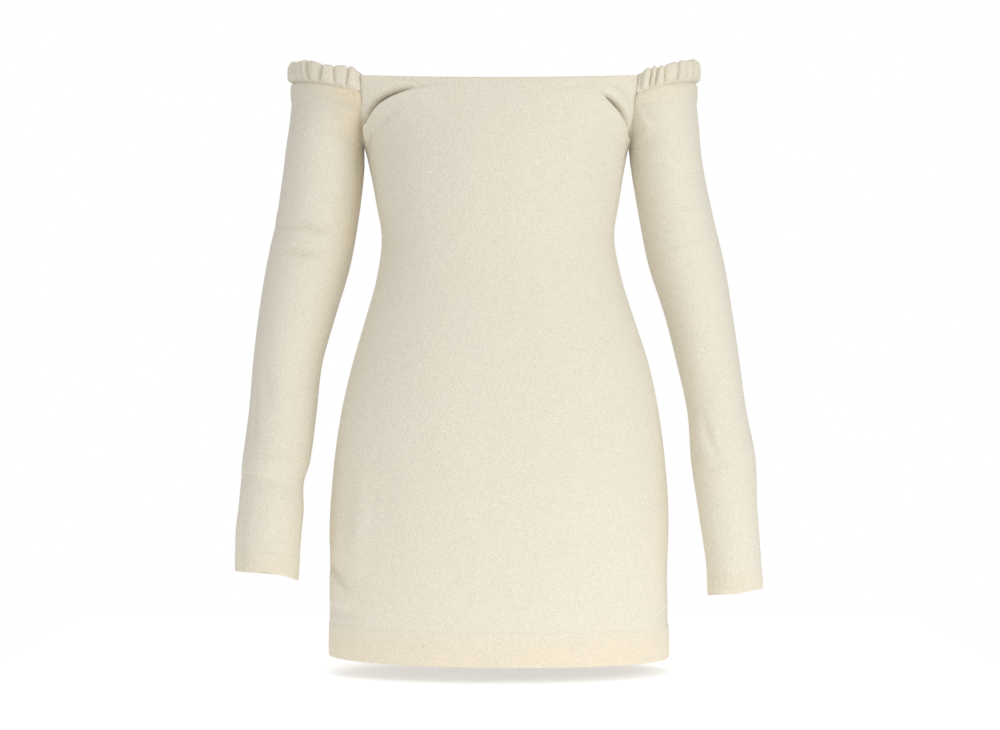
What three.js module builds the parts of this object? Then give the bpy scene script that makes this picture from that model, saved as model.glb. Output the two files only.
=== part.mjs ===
// An off-the-shoulder mini dress in crepe, hollow and filled out as when it is worn.
// Lengths are in millimetres. +Z is up, -Y is the front and +X is the viewer's right.
// The origin is the middle of the neckline's opening, level with its two front corners.
// The front and back meet at side seams and end above in a U-shaped armhole. Each sleeve is a
// tube that opens towards the body along that armhole, and a gathered band with elastic in it
// closes the neckline over the arm.

import * as THREE from 'three';

// Cloth
const CLOTH = 1.6;
const DOUBLED_CLOTH = 2.6;
const SEAM_GAP = 0.3;
const IVORY = 0xe6decb;

// Lengths down from the neckline
const DRESS_LENGTH = 617;
const HEM_TURN_UP = 36;
const HEM_TILT = 0.008;
const HEM_TILT_FROM = 450;
const NECK_DIP = 4.5;
const NECK_DIP_FADES_AT = 120;
const NECK_HALF = 145;

// The armholes are cut up from the side seams. underarm and corner are the distances from the
// middle to an armhole's edge at its lowest point and at the neckline.
const ARMHOLE_DEPTH = 69;
const LEFT_ARMHOLE = { underarm: 145, corner: 144.5 };
const RIGHT_ARMHOLE = { underarm: 141, corner: 146 };

// Cuffs
const CUFF_TURN_UP = 22;
const CUFF_TILT_FROM = 250;
const CUFF_TILT_SIDE = 0.13;
const CUFF_TILT_FRONT = 0.1;

// The gathered shoulder band
const BAND_THICKNESS = 9.4;
const BAND_END_HEIGHT = 19;
const BAND_END_THICKNESS = 3.6;
const BAND_END_FADE = 0.07;
const BAND_SQUARENESS = 0.8;
const BAND_PLEATS = 17;
const PLEAT_DEPTH = 0.34;
const PLEAT_DIP = 2.4;
const CAUGHT_FROM = -0.2;
const CAUGHT_TO = 0.45;
const BAND_STATIONS_PER_PLEAT = 4;
const BAND_SECTION_POINTS = 10;

// Folds and creases. A roll or ridge of cloth lies beside each of them, so many reaches away.
// Folds start with some depth already at the armhole and fade close to its seam.
const FOLD_FADE = 0.06;
const FOLD_START = 0.12;
const FOLD_FULLNESS = 0.7;
const FOLD_STEPS = 24;
const ROLL_AT = 2.2;
const RIDGE_AT = 1.8;
const RIDGE_SHARE = 0.5;

// Faces of each cloth: across or round it, from hem to underarm, and along the armhole.
const PANEL_FACES = {
  front: { columns: 36, lowerRows: 16, armholeRows: 13 },
  back: { columns: 24, lowerRows: 13, armholeRows: 9 },
};
const SLEEVE_FACES = { columns: 20, lowerRows: 24, armholeRows: 8 };
const HEM_ROWS = 2;

// Small steps by which a surface's outward direction is found, and how far inside its edges
const ACROSS_STEP = 0.004;
const ROUND_STEP = 0.008;
const ROUND_MARGIN = 0.01;
const HEIGHT_STEP = 0.8;
const HEIGHT_MARGIN = 1;

// Body sections. z is the height, and left and right are the distances from the middle to the
// widest place, which the armholes cut off above the underarm. front and back are the depths in
// front of and behind that place. square is the squareness of the oval, where 2 is an ellipse.
const BODY_SECTIONS = [
  { z: 0, left: 222, right: 222, front: 100, back: 92, square: 2.0 },
  { z: -18, left: 193, right: 192, front: 105, back: 94, square: 2.0 },
  { z: -37, left: 169, right: 166, front: 109, back: 95, square: 2.02 },
  { z: -53, left: 154.5, right: 151, front: 112, back: 95, square: 2.05 },
  { z: -69, left: 145, right: 141, front: 113, back: 94, square: 2.08 },
  { z: -95, left: 138.4, right: 135.3, front: 111, back: 90, square: 2.12 },
  { z: -127, left: 132.1, right: 130.1, front: 102, back: 83, square: 2.14 },
  { z: -167, left: 125.7, right: 124.7, front: 91, back: 77, square: 2.14 },
  { z: -212, left: 131.7, right: 132.9, front: 93, back: 83, square: 2.14 },
  { z: -251, left: 142.5, right: 145.2, front: 98, back: 95, square: 2.14 },
  { z: -303, left: 157.4, right: 161.9, front: 103, back: 109, square: 2.14 },
  { z: -355, left: 169.5, right: 172.9, front: 106, back: 116, square: 2.14 },
  { z: -407, left: 176.6, right: 179.4, front: 108, back: 116, square: 2.14 },
  { z: -471, left: 182, right: 183, front: 110, back: 112, square: 2.14 },
  { z: -537, left: 182, right: 181.4, front: 112, back: 108, square: 2.14 },
  { z: -597, left: 183.1, right: 183.9, front: 113, back: 106, square: 2.14 },
  { z: -617, left: 183.1, right: 183.7, front: 113, back: 106, square: 2.14 },
];

// Sleeve sections. z is the height, inner and outer are the distances from the dress's middle,
// midY is the middle of the arm and depth is half its thickness from front to back. Above the
// underarm the armhole's edge takes the place of inner.
const LEFT_SLEEVE_SECTIONS = [
  { z: -17, inner: 145, outer: 222.8, midY: -3.5, depth: 71.5 },
  { z: -30, inner: 145, outer: 222.9, midY: -3, depth: 66.5 },
  { z: -43, inner: 145, outer: 224.3, midY: -2, depth: 61 },
  { z: -56, inner: 145, outer: 226.7, midY: -1, depth: 56.5 },
  { z: -69, inner: 145, outer: 229.4, midY: 0, depth: 52.5 },
  { z: -95, inner: 145.2, outer: 232.7, midY: 2, depth: 50 },
  { z: -147, inner: 151.7, outer: 240.4, midY: 7, depth: 48.5 },
  { z: -199, inner: 161.3, outer: 251.8, midY: 11, depth: 47.5 },
  { z: -251, inner: 176.5, outer: 259.7, midY: 10, depth: 45.5 },
  { z: -303, inner: 190.7, outer: 265.5, midY: 4, depth: 42 },
  { z: -355, inner: 196.6, outer: 269.1, midY: -5, depth: 39.5 },
  { z: -407, inner: 202.6, outer: 274.4, midY: -15, depth: 37 },
  { z: -428, inner: 208.6, outer: 275.6, midY: -19, depth: 35.5 },
  { z: -458, inner: 208.4, outer: 277.8, midY: -25, depth: 34.5 },
  { z: -484, inner: 210.6, outer: 280.4, midY: -30, depth: 33.5 },
  { z: -526.5, inner: 213, outer: 280.4, midY: -38, depth: 33 },
];
const RIGHT_SLEEVE_SECTIONS = [
  { z: -18.5, inner: 141, outer: 213.2, midY: -3.5, depth: 71.2 },
  { z: -30, inner: 141, outer: 213.3, midY: -3, depth: 66.5 },
  { z: -43, inner: 141, outer: 214.5, midY: -2, depth: 61 },
  { z: -56, inner: 141, outer: 216.3, midY: -1, depth: 56.5 },
  { z: -69, inner: 141, outer: 217.9, midY: 0, depth: 52.5 },
  { z: -95, inner: 143.5, outer: 221.9, midY: 2, depth: 50 },
  { z: -147, inner: 152.6, outer: 232.7, midY: 7, depth: 48.5 },
  { z: -199, inner: 163.9, outer: 245.4, midY: 11, depth: 46.5 },
  { z: -251, inner: 180.3, outer: 253.6, midY: 10, depth: 44 },
  { z: -303, inner: 193.2, outer: 260.8, midY: 4, depth: 40.5 },
  { z: -355, inner: 203.6, outer: 267, midY: -5, depth: 37.5 },
  { z: -407, inner: 206.9, outer: 276, midY: -15, depth: 35.5 },
  { z: -458, inner: 213.8, outer: 276.8, midY: -25, depth: 33.5 },
  { z: -510, inner: 221, outer: 279.6, midY: -33, depth: 32 },
  { z: -545.5, inner: 222.6, outer: 281.6, midY: -39, depth: 31.5 },
];

// Folds of the bodice, each along a bent line seen from the front: its three guide points,
// how deep it is, how far it reaches to each side, and the roll of cloth below it.
const BODICE_FOLDS = [
  { x: [-140, -125, -62], z: [-51, -17, -10], depth: 5, reach: 4.5, roll: 1.6 },
  { x: [-134, -119, -97], z: [-64, -43, -35], depth: 1.8, reach: 5, roll: 0.6 },
  { x: [138, 126, 62], z: [-63, -17, -9], depth: 4.5, reach: 4, roll: 1.2 },
  { x: [140, 122, 84], z: [-29, -13, -5], depth: 1.6, reach: 6, roll: 0.8 },
];

// Creases across a sleeve. z is its height and round its place round the sleeve, from 0 at the
// front seam to 1 at the back one. run is its length in that measure, depth and reach are how
// deep and how far up and down it goes, and slant is how much it climbs along its run.
const LEFT_SLEEVE_CREASES = [
  { z: -163, round: 0.27, run: 0.16, depth: 1.9, reach: 6, slant: -3 },
  { z: -188, round: 0.3, run: 0.14, depth: 1.7, reach: 6, slant: 4 },
  { z: -430, round: 0.2, run: 0.24, depth: 3.2, reach: 8, slant: 3 },
];
const RIGHT_SLEEVE_CREASES = [
  { z: -143, round: 0.3, run: 0.14, depth: 1.7, reach: 6, slant: -2 },
  { z: -167, round: 0.28, run: 0.16, depth: 1.9, reach: 6, slant: 3 },
  { z: -392, round: 0.22, run: 0.14, depth: 2.4, reach: 12, slant: 16 },
];

// The two sleeves with their bands. headCorner is how far below the neckline the sleeve's top
// edge meets the armhole, and headRise is how far that edge climbs to the outside of the arm.
const SLEEVES = [
  {
    name: 'left',
    side: -1,
    sections: LEFT_SLEEVE_SECTIONS,
    creases: LEFT_SLEEVE_CREASES,
    headCorner: 17,
    headRise: 15,
    bandHeight: 22.5,
  },
  {
    name: 'right',
    side: 1,
    sections: RIGHT_SLEEVE_SECTIONS,
    creases: RIGHT_SLEEVE_CREASES,
    headCorner: 18.5,
    headRise: 16.5,
    bandHeight: 25,
  },
];

// Returns a smooth function of height for one column of a table that runs downwards.
function column(table, name) {
  const heights = table.map((row) => row.z);
  const values = table.map((row) => row[name]);
  const slopes = values.map((value, i) => {
    const above = Math.max(i - 1, 0);
    const below = Math.min(i + 1, values.length - 1);
    return (values[below] - values[above]) / (heights[below] - heights[above]);
  });
  return (z) => {
    let i = 0;
    while (i < heights.length - 2 && z < heights[i + 1]) i += 1;
    const span = heights[i + 1] - heights[i];
    const t = THREE.MathUtils.clamp((z - heights[i]) / span, 0, 1);
    const rise = values[i + 1] - values[i];
    const start = slopes[i] * span - rise;
    const end = rise - slopes[i + 1] * span;
    return values[i] + t * rise + t * (1 - t) * (start * (1 - t) + end * t);
  };
}

function columns(table) {
  const names = Object.keys(table[0]).filter((name) => name !== 'z');
  return Object.fromEntries(names.map((name) => [name, column(table, name)]));
}

function signedPower(value, power) {
  return Math.sign(value) * Math.abs(value) ** power;
}

function bell(distance, reach) {
  return Math.exp(-((distance / reach) ** 2));
}

// How far from the middle the body ends at one side, at its side seam or its armhole.
const body = columns(BODY_SECTIONS);
function bodyEdge(isLeft, z) {
  if (z <= -ARMHOLE_DEPTH) return isLeft ? body.left(z) : body.right(z);
  const { underarm, corner } = isLeft ? LEFT_ARMHOLE : RIGHT_ARMHOLE;
  return THREE.MathUtils.lerp(underarm, corner, Math.min(1 + z / ARMHOLE_DEPTH, 1));
}

// A point on one face of the body. side is -1 for the front and 1 for the back, and across
// runs from -1 at the viewer's left edge to 1 at the right one.
function bodyPoint(side, across, z) {
  const depth = side < 0 ? body.front(z) : body.back(z);
  const power = body.square(z);
  const half = across < 0 ? body.left(z) : body.right(z);
  const edge = bodyEdge(across < 0, z);
  const angle = across * Math.asin(Math.min(edge / half, 1) ** (power / 2));
  const x = half * signedPower(Math.sin(angle), 2 / power);
  const y = side * depth * signedPower(Math.cos(angle), 2 / power);
  const neckFade = THREE.MathUtils.smoothstep(z, -NECK_DIP_FADES_AT, 0);
  const neckDip = NECK_DIP * neckFade * (1 - (x / NECK_HALF) ** 2);
  const hemTilt = HEM_TILT * x * THREE.MathUtils.smoothstep(-z, HEM_TILT_FROM, DRESS_LENGTH);
  return new THREE.Vector3(x, y, z - neckDip - hemTilt);
}

// A point on the outside of a sleeve. round runs from 0 at the front seam over the outside of
// the arm to 1 at the back seam, and below the armhole those two seams are one. Level by level
// the sleeve is an oval, which the armhole's plane cuts off above the underarm.
function sleevePoint(sleeve, round, z) {
  const isLeft = sleeve.side < 0;
  const facing = round > 0.5 ? 1 : -1;
  const seamToOutside = 2 * Math.min(round, 1 - round);
  const outer = sleeve.outer(z);
  const depth = sleeve.depth(z);
  const midY = sleeve.midY(z);
  const inArmhole = z > -ARMHOLE_DEPTH;
  const inner = (inArmhole ? bodyEdge(isLeft, z) : sleeve.inner(z)) + SEAM_GAP / 2;
  const seamY = inArmhole ? bodyPoint(facing, isLeft ? -1 : 1, z).y : midY;
  const cutShare = Math.sqrt(1 - ((seamY - midY) / depth) ** 2);
  const halfWidth = (outer - inner) / (1 + cutShare);
  const angle = (Math.PI - Math.acos(cutShare)) * (1 - seamToOutside);
  const x = outer - halfWidth * (1 - Math.cos(angle));
  const y = midY + facing * depth * Math.sin(angle);
  const headShare = Math.max(z + ARMHOLE_DEPTH, 0) / (ARMHOLE_DEPTH - sleeve.headCorner);
  const headRise = (sleeve.headRise * headShare * (x - inner)) / (outer - inner);
  const tilt = THREE.MathUtils.smoothstep(-z, CUFF_TILT_FROM, DRESS_LENGTH);
  const aside = x - (inner + outer) / 2;
  const cuffRise = tilt * (CUFF_TILT_SIDE * aside - CUFF_TILT_FRONT * (y - midY));
  return new THREE.Vector3(sleeve.side * x, y, z + headRise + cuffRise);
}

// The outward direction of a surface given as a function of two shares, by small steps.
function outwardNormal(surface, u, v, stepU, stepV) {
  const alongU = surface(u + stepU, v).sub(surface(u - stepU, v));
  const alongV = surface(u, v + stepV).sub(surface(u, v - stepV));
  return alongU.cross(alongV).normalize();
}

// How far the bodice's folds move a point of the front in or out. They end at the armhole.
function foldMove(point, across) {
  const clearOfSeam = THREE.MathUtils.smoothstep(1 - Math.abs(across), 0, FOLD_FADE);
  let move = 0;
  for (const fold of BODICE_FOLDS) {
    const line = new THREE.QuadraticBezierCurve(
      new THREE.Vector2(fold.x[0], fold.z[0]),
      new THREE.Vector2(fold.x[1], fold.z[1]),
      new THREE.Vector2(fold.x[2], fold.z[2]),
    );
    let nearest = { distance: Infinity, share: 0, below: 1 };
    for (const share of steps(0, 1, FOLD_STEPS)) {
      const spot = line.getPoint(share);
      const distance = Math.hypot(point.x - spot.x, point.z - spot.y);
      if (distance < nearest.distance) {
        nearest = { distance, share, below: Math.sign(spot.y - point.z) };
      }
    }
    const strength =
      Math.sin(Math.PI * THREE.MathUtils.lerp(FOLD_START, 1, nearest.share)) ** FOLD_FULLNESS;
    const fromRoll = nearest.distance - ROLL_AT * fold.reach;
    const rolled = Math.max(nearest.below, 0) * bell(fromRoll, fold.reach);
    move += strength * (fold.roll * rolled - fold.depth * bell(nearest.distance, fold.reach));
  }
  return clearOfSeam * move;
}

// How far a sleeve's creases, and the ridge above each of them, move a point in or out.
function creaseMove(creases, round, z) {
  let move = 0;
  for (const crease of creases) {
    const aside = (round - crease.round) / crease.run;
    const height = z - crease.z - crease.slant * aside;
    const ridge = RIDGE_SHARE * bell(height - RIDGE_AT * crease.reach, crease.reach);
    move -= crease.depth * bell(aside, 1) * (bell(height, crease.reach) - ridge);
  }
  return move;
}

// count + 1 even steps from one value to another.
function steps(from, to, count) {
  return Array.from({ length: count + 1 }, (_, i) => THREE.MathUtils.lerp(from, to, i / count));
}

// Heights up the armhole, closer together where its edge turns at the underarm. The spacing is
// halfway between even and that of a quarter circle.
function armholeHeights(top, count) {
  const share = (t) => (t + 1 - Math.cos((Math.PI / 2) * t)) / 2;
  return steps(0, 1, count).map((t) => THREE.MathUtils.lerp(-ARMHOLE_DEPTH, top, share(t)));
}

// Shares across a panel, closer together near its two edges.
function panelShares(count) {
  return steps(-1, 1, count).map((t) => (t + Math.sin((Math.PI / 2) * t)) / 2);
}

// Makes one closed solid from rows of outer and inner points. The first tubeRows rows close
// on themselves, and the rows above them are open.
function clothGeometry(rows, tubeRows) {
  const lastRow = rows.length - 1;
  const lastColumn = rows[0].length - 1;
  const positions = [];
  const numbers = new Map();
  const vertex = (i, j, layer) => {
    const column = i < tubeRows && j === lastColumn ? 0 : j;
    const key = `${i},${column},${layer}`;
    if (!numbers.has(key)) {
      numbers.set(key, numbers.size);
      positions.push(...rows[i][column][layer].toArray());
    }
    return numbers.get(key);
  };
  const triangles = [];
  const quad = (a, b, c, d) => triangles.push(a, b, c, a, c, d);
  for (let i = 0; i < lastRow; i += 1) {
    for (let j = 0; j < lastColumn; j += 1) {
      const ring = [[i, j], [i, j + 1], [i + 1, j + 1], [i + 1, j]];
      const [a, b, c, d] = ring.map(([row, col]) => vertex(row, col, 'outer'));
      const [e, f, g, h] = ring.map(([row, col]) => vertex(row, col, 'inner'));
      quad(a, b, c, d);
      quad(e, h, g, f);
      if (i === 0) quad(b, a, e, f);
      if (i === lastRow - 1) quad(d, c, g, h);
      const isOpen = i + 1 >= tubeRows;
      if (j === 0 && isOpen) quad(a, d, h, e);
      if (j === lastColumn - 1 && isOpen) quad(c, b, f, g);
    }
  }
  return closedGeometry(positions, triangles);
}

// Makes one closed solid from rings of points, with a fan over each end.
function loftGeometry(rings) {
  const count = rings[0].length;
  const middle = (ring) => ring.reduce((sum, p) => sum.add(p), new THREE.Vector3()).divideScalar(count);
  const points = [...rings.flat(), middle(rings[0]), middle(rings[rings.length - 1])];
  const startMiddle = points.length - 2;
  const endMiddle = points.length - 1;
  const triangles = [];
  for (let i = 0; i < rings.length - 1; i += 1) {
    for (let k = 0; k < count; k += 1) {
      const next = (k + 1) % count;
      const [a, b, c, d] = [i * count + k, i * count + next, (i + 1) * count + next, (i + 1) * count + k];
      triangles.push(a, b, c, a, c, d);
    }
  }
  const lastRing = (rings.length - 1) * count;
  for (let k = 0; k < count; k += 1) {
    const next = (k + 1) % count;
    triangles.push(startMiddle, next, k);
    triangles.push(endMiddle, lastRing + k, lastRing + next);
  }
  return closedGeometry(points.flatMap((p) => p.toArray()), triangles);
}

// Turns the faces outwards if the volume they enclose comes out negative.
function closedGeometry(positions, triangles) {
  const corner = (n) => new THREE.Vector3().fromArray(positions, 3 * triangles[n]);
  let volume = 0;
  for (let n = 0; n < triangles.length; n += 3) {
    volume += corner(n).dot(corner(n + 1).cross(corner(n + 2)));
  }
  const index = volume > 0 ? triangles : [...triangles].reverse();
  const geometry = new THREE.BufferGeometry();
  geometry.setAttribute('position', new THREE.Float32BufferAttribute(positions, 3));
  geometry.setIndex(index);
  geometry.computeVertexNormals();
  return geometry;
}

function clothMesh(name, geometry) {
  const material = new THREE.MeshStandardMaterial({
    name: 'ivory_crepe',
    color: IVORY,
    roughness: 0.9,
    metalness: 0,
  });
  const mesh = new THREE.Mesh(geometry, material);
  mesh.name = name;
  return mesh;
}

// One face of the body, from the hem to the neckline.
function bodyPanel(name, side, faces) {
  const hemLine = -DRESS_LENGTH + HEM_TURN_UP;
  const heights = [
    ...steps(-DRESS_LENGTH, hemLine, HEM_ROWS),
    ...steps(hemLine, -ARMHOLE_DEPTH, faces.lowerRows).slice(1),
    ...armholeHeights(0, faces.armholeRows).slice(1),
  ];
  const surface = (across, z) => bodyPoint(side, across, z);
  const rows = heights.map((z) => {
    const level = THREE.MathUtils.clamp(z, HEIGHT_MARGIN - DRESS_LENGTH, -HEIGHT_MARGIN);
    return panelShares(faces.columns).map((across) => {
      const normal = outwardNormal(surface, across, level, ACROSS_STEP, HEIGHT_STEP);
      normal.multiplyScalar(-side);
      const thickness = z <= hemLine ? DOUBLED_CLOTH : CLOTH;
      const outer = surface(across, z);
      outer.x *= 1 - SEAM_GAP / 2 / NECK_HALF;
      outer.y += (side * SEAM_GAP) / 2;
      if (side < 0) outer.addScaledVector(normal, foldMove(outer, across));
      const inner = outer.clone().addScaledVector(normal, -thickness);
      return { outer, inner };
    });
  });
  return clothMesh(name, clothGeometry(rows, 0));
}

// A sleeve's rows of outer and inner points, from the cuff up to the gathered band's seam.
function sleeveRows(sleeve) {
  const cuff = sleeve.sections[sleeve.sections.length - 1].z;
  const cuffLine = cuff + CUFF_TURN_UP;
  const lowerHeights = [
    ...steps(cuff, cuffLine, 1),
    ...steps(cuffLine, -ARMHOLE_DEPTH, SLEEVE_FACES.lowerRows).slice(1),
  ];
  const armhole = armholeHeights(-sleeve.headCorner, SLEEVE_FACES.armholeRows);
  const heights = [...lowerHeights, ...armhole.slice(1)];
  const surface = (round, z) => sleevePoint(sleeve, round, z);
  const rows = heights.map((z) => {
    const level = THREE.MathUtils.clamp(z, cuff + HEIGHT_MARGIN, -sleeve.headCorner - HEIGHT_MARGIN);
    return steps(0, 1, SLEEVE_FACES.columns).map((round) => {
      const inside = THREE.MathUtils.clamp(round, ROUND_MARGIN, 1 - ROUND_MARGIN);
      const normal = outwardNormal(surface, inside, level, ROUND_STEP, HEIGHT_STEP);
      normal.multiplyScalar(sleeve.side);
      if (z <= -ARMHOLE_DEPTH && inside !== round) normal.set(-sleeve.side, 0, 0);
      const outer = surface(round, z);
      outer.addScaledVector(normal, creaseMove(sleeve.creases, round, z));
      const thickness = z <= cuffLine ? DOUBLED_CLOTH : CLOTH;
      return { outer, inner: outer.clone().addScaledVector(normal, -thickness) };
    });
  });
  return { rows, tubeRows: lowerHeights.length };
}

// The gathered band stands on the sleeve's top edge. Its cloth bulges between pleats and is
// drawn in at its ends, which lie along the armhole where they are caught in its seam.
function bandMesh(sleeve, topEdge) {
  const isLeft = sleeve.side < 0;
  const spine = new THREE.CatmullRomCurve3(
    topEdge.map(({ outer, inner }) => outer.clone().lerp(inner, 0.5)),
    false,
    'centripetal',
  );
  const rings = steps(0, 1, BAND_PLEATS * BAND_STATIONS_PER_PLEAT).map((share) => {
    const foot = spine.getPointAt(share);
    const along = spine.getTangentAt(share);
    const loose = THREE.MathUtils.smoothstep(Math.min(share, 1 - share), 0, BAND_END_FADE);
    const aside = new THREE.Vector3(along.y, -along.x, 0).normalize();
    aside.lerp(new THREE.Vector3(0, Math.sign(aside.y), 0), 1 - loose).normalize();
    const bulge = Math.abs(Math.sin(Math.PI * BAND_PLEATS * share));
    const looseThickness = BAND_THICKNESS * (1 - PLEAT_DEPTH * (1 - bulge));
    const looseHeight = sleeve.bandHeight - PLEAT_DIP * (1 - bulge);
    const thickness = THREE.MathUtils.lerp(BAND_END_THICKNESS, looseThickness, loose);
    const height = THREE.MathUtils.lerp(BAND_END_HEIGHT, looseHeight, loose);
    return steps(0, 2 * Math.PI, BAND_SECTION_POINTS).slice(0, -1).map((angle) => {
      const up = (height / 2) * (1 + signedPower(Math.sin(angle), BAND_SQUARENESS));
      const caught = THREE.MathUtils.smoothstep(up / height, CAUGHT_FROM, CAUGHT_TO);
      const out = (thickness / 2) * caught * signedPower(Math.cos(angle), BAND_SQUARENESS);
      const point = foot.clone().addScaledVector(aside, out).setZ(foot.z + SEAM_GAP + up);
      point.x += sleeve.side * (bodyEdge(isLeft, point.z) - bodyEdge(isLeft, foot.z));
      return point;
    });
  });
  return clothMesh(`shoulder_band_${sleeve.name}`, loftGeometry(rings));
}

function sleeveAndBand(settings) {
  const sleeve = { ...settings, ...columns(settings.sections) };
  const { rows, tubeRows } = sleeveRows(sleeve);
  const topEdge = rows[rows.length - 1];
  return [
    clothMesh(`sleeve_${sleeve.name}`, clothGeometry(rows, tubeRows)),
    bandMesh(sleeve, topEdge),
  ];
}

const dress = new THREE.Group();
dress.name = 'mini_dress';
dress.add(bodyPanel('dress_front', -1, PANEL_FACES.front));
dress.add(bodyPanel('dress_back', 1, PANEL_FACES.back));
for (const sleeve of SLEEVES) dress.add(...sleeveAndBand(sleeve));

export default dress;
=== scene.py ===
"""An off-the-shoulder mini dress in ivory crepe, hollow and filled out as when it is worn.

The tables are in millimetres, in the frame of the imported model: +Z is up, -Y is the front of the
dress and +X the viewer's right. Meshes are written in metres. Each piece of cloth is a thin shell
on the form of the CAD node that it replaces, with the folds that the cloth has over it.
"""

import logging
import math
from dataclasses import dataclass
from enum import Enum
from typing import Callable

import bpy
import numpy as np
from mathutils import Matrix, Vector


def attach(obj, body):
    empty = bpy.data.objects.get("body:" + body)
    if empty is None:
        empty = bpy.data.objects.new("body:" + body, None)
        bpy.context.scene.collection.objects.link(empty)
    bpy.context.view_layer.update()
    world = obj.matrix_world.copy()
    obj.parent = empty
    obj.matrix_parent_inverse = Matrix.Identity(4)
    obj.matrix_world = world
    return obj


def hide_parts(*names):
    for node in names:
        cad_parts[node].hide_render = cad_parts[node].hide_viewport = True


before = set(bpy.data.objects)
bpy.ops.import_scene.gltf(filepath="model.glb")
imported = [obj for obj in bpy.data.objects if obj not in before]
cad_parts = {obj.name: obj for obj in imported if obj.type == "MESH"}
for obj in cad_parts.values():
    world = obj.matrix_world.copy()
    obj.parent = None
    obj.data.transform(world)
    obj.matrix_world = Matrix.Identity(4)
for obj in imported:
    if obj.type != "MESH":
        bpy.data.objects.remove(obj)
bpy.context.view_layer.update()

Array = np.ndarray
Surface = Callable[[Array, Array], Array]

LOG = logging.getLogger("mini_dress")
MM = 0.001

SEAM_GAP = 0.1
SHELL = 1.3
DOUBLED_SHELL = 2.3
ARMHOLE_DEPTH = 69.0
DRESS_LENGTH = 617.0
ARMHOLE_ROLL_DEPTHS = (1.5, 8.5)
ARMHOLE_ROLL_WIDTH = 1.3
ARMHOLE_MOST_DRAWN = 0.19
WHITE = (1.0, 1.0, 1.0, 1.0)


class Face(Enum):
    """The face of the body that a panel covers."""

    FRONT = -1
    BACK = 1


class Side(Enum):
    """The viewer's left or right."""

    LEFT = -1
    RIGHT = 1


def smoothstep(value: Array, low: float, high: float) -> Array:
    """A smooth share that is 0 up to low and 1 from high."""
    share = np.clip((value - low) / (high - low), 0.0, 1.0)
    return share * share * (3.0 - 2.0 * share)


def bell(distance: Array, reach: float) -> Array:
    """A soft hump that is 1 at no distance and a third of that at reach."""
    return np.exp(-((distance / reach) ** 2))


def signed_power(value: Array, power: Array) -> Array:
    """A power of the size of a number that keeps its sign."""
    return np.sign(value) * np.abs(value) ** power


def outward(surface: Surface, u: Array, v: Array, step_u: float, step_v: float) -> tuple[Array, Array]:
    """The direction square to a surface, by small steps.

    Args:
        surface: Gives points for two arrays of coordinates.
        u: The first coordinate of each point.
        v: The second coordinate of each point.
        step_u: Half the length of the step along u.
        step_v: Half the length of the step along v.

    Returns:
        The unit normals, and the length of surface for one unit of u.
    """
    along_u = surface(u + step_u, v) - surface(u - step_u, v)
    along_v = surface(u, v + step_v) - surface(u, v - step_v)
    normal = np.cross(along_u, along_v)
    stretch = np.linalg.norm(along_u, axis=1) / (2.0 * step_u)
    return normal / np.linalg.norm(normal, axis=1, keepdims=True), stretch


def spaced(*spans: tuple[float, float, int]) -> Array:
    """Coordinates of grid lines, from spans of (start, end, steps) that follow each other."""
    parts = [np.linspace(start, end, count + 1)[1:] for start, end, count in spans]
    return np.concatenate([[spans[0][0]], *parts])


@dataclass(frozen=True)
class SectionTable:
    """Cross-sections that follow each other downwards.

    Each row starts with its height, and names says what its other numbers are.
    """

    names: tuple[str, ...]
    rows: tuple[tuple[float, ...], ...]

    def at(self, name: str, z: Array) -> Array:
        """One column of the table as a smooth function of height.

        Args:
            name: The column's name.
            z: The heights.

        Returns:
            The column's value at each height.
        """
        table = np.array(self.rows)
        heights, values = table[:, 0], table[:, 1 + self.names.index(name)]
        last = len(heights) - 1
        above, below = np.maximum(np.arange(last + 1) - 1, 0), np.minimum(np.arange(last + 1) + 1, last)
        slopes = (values[below] - values[above]) / (heights[below] - heights[above])
        i = np.clip(np.searchsorted(-heights, -np.asarray(z), side="right") - 1, 0, last - 1)
        span, rise = heights[i + 1] - heights[i], values[i + 1] - values[i]
        t = np.clip((z - heights[i]) / span, 0.0, 1.0)
        start, end = slopes[i] * span - rise, rise - slopes[i + 1] * span
        return values[i] + t * rise + t * (1.0 - t) * (start * (1.0 - t) + end * t)


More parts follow.
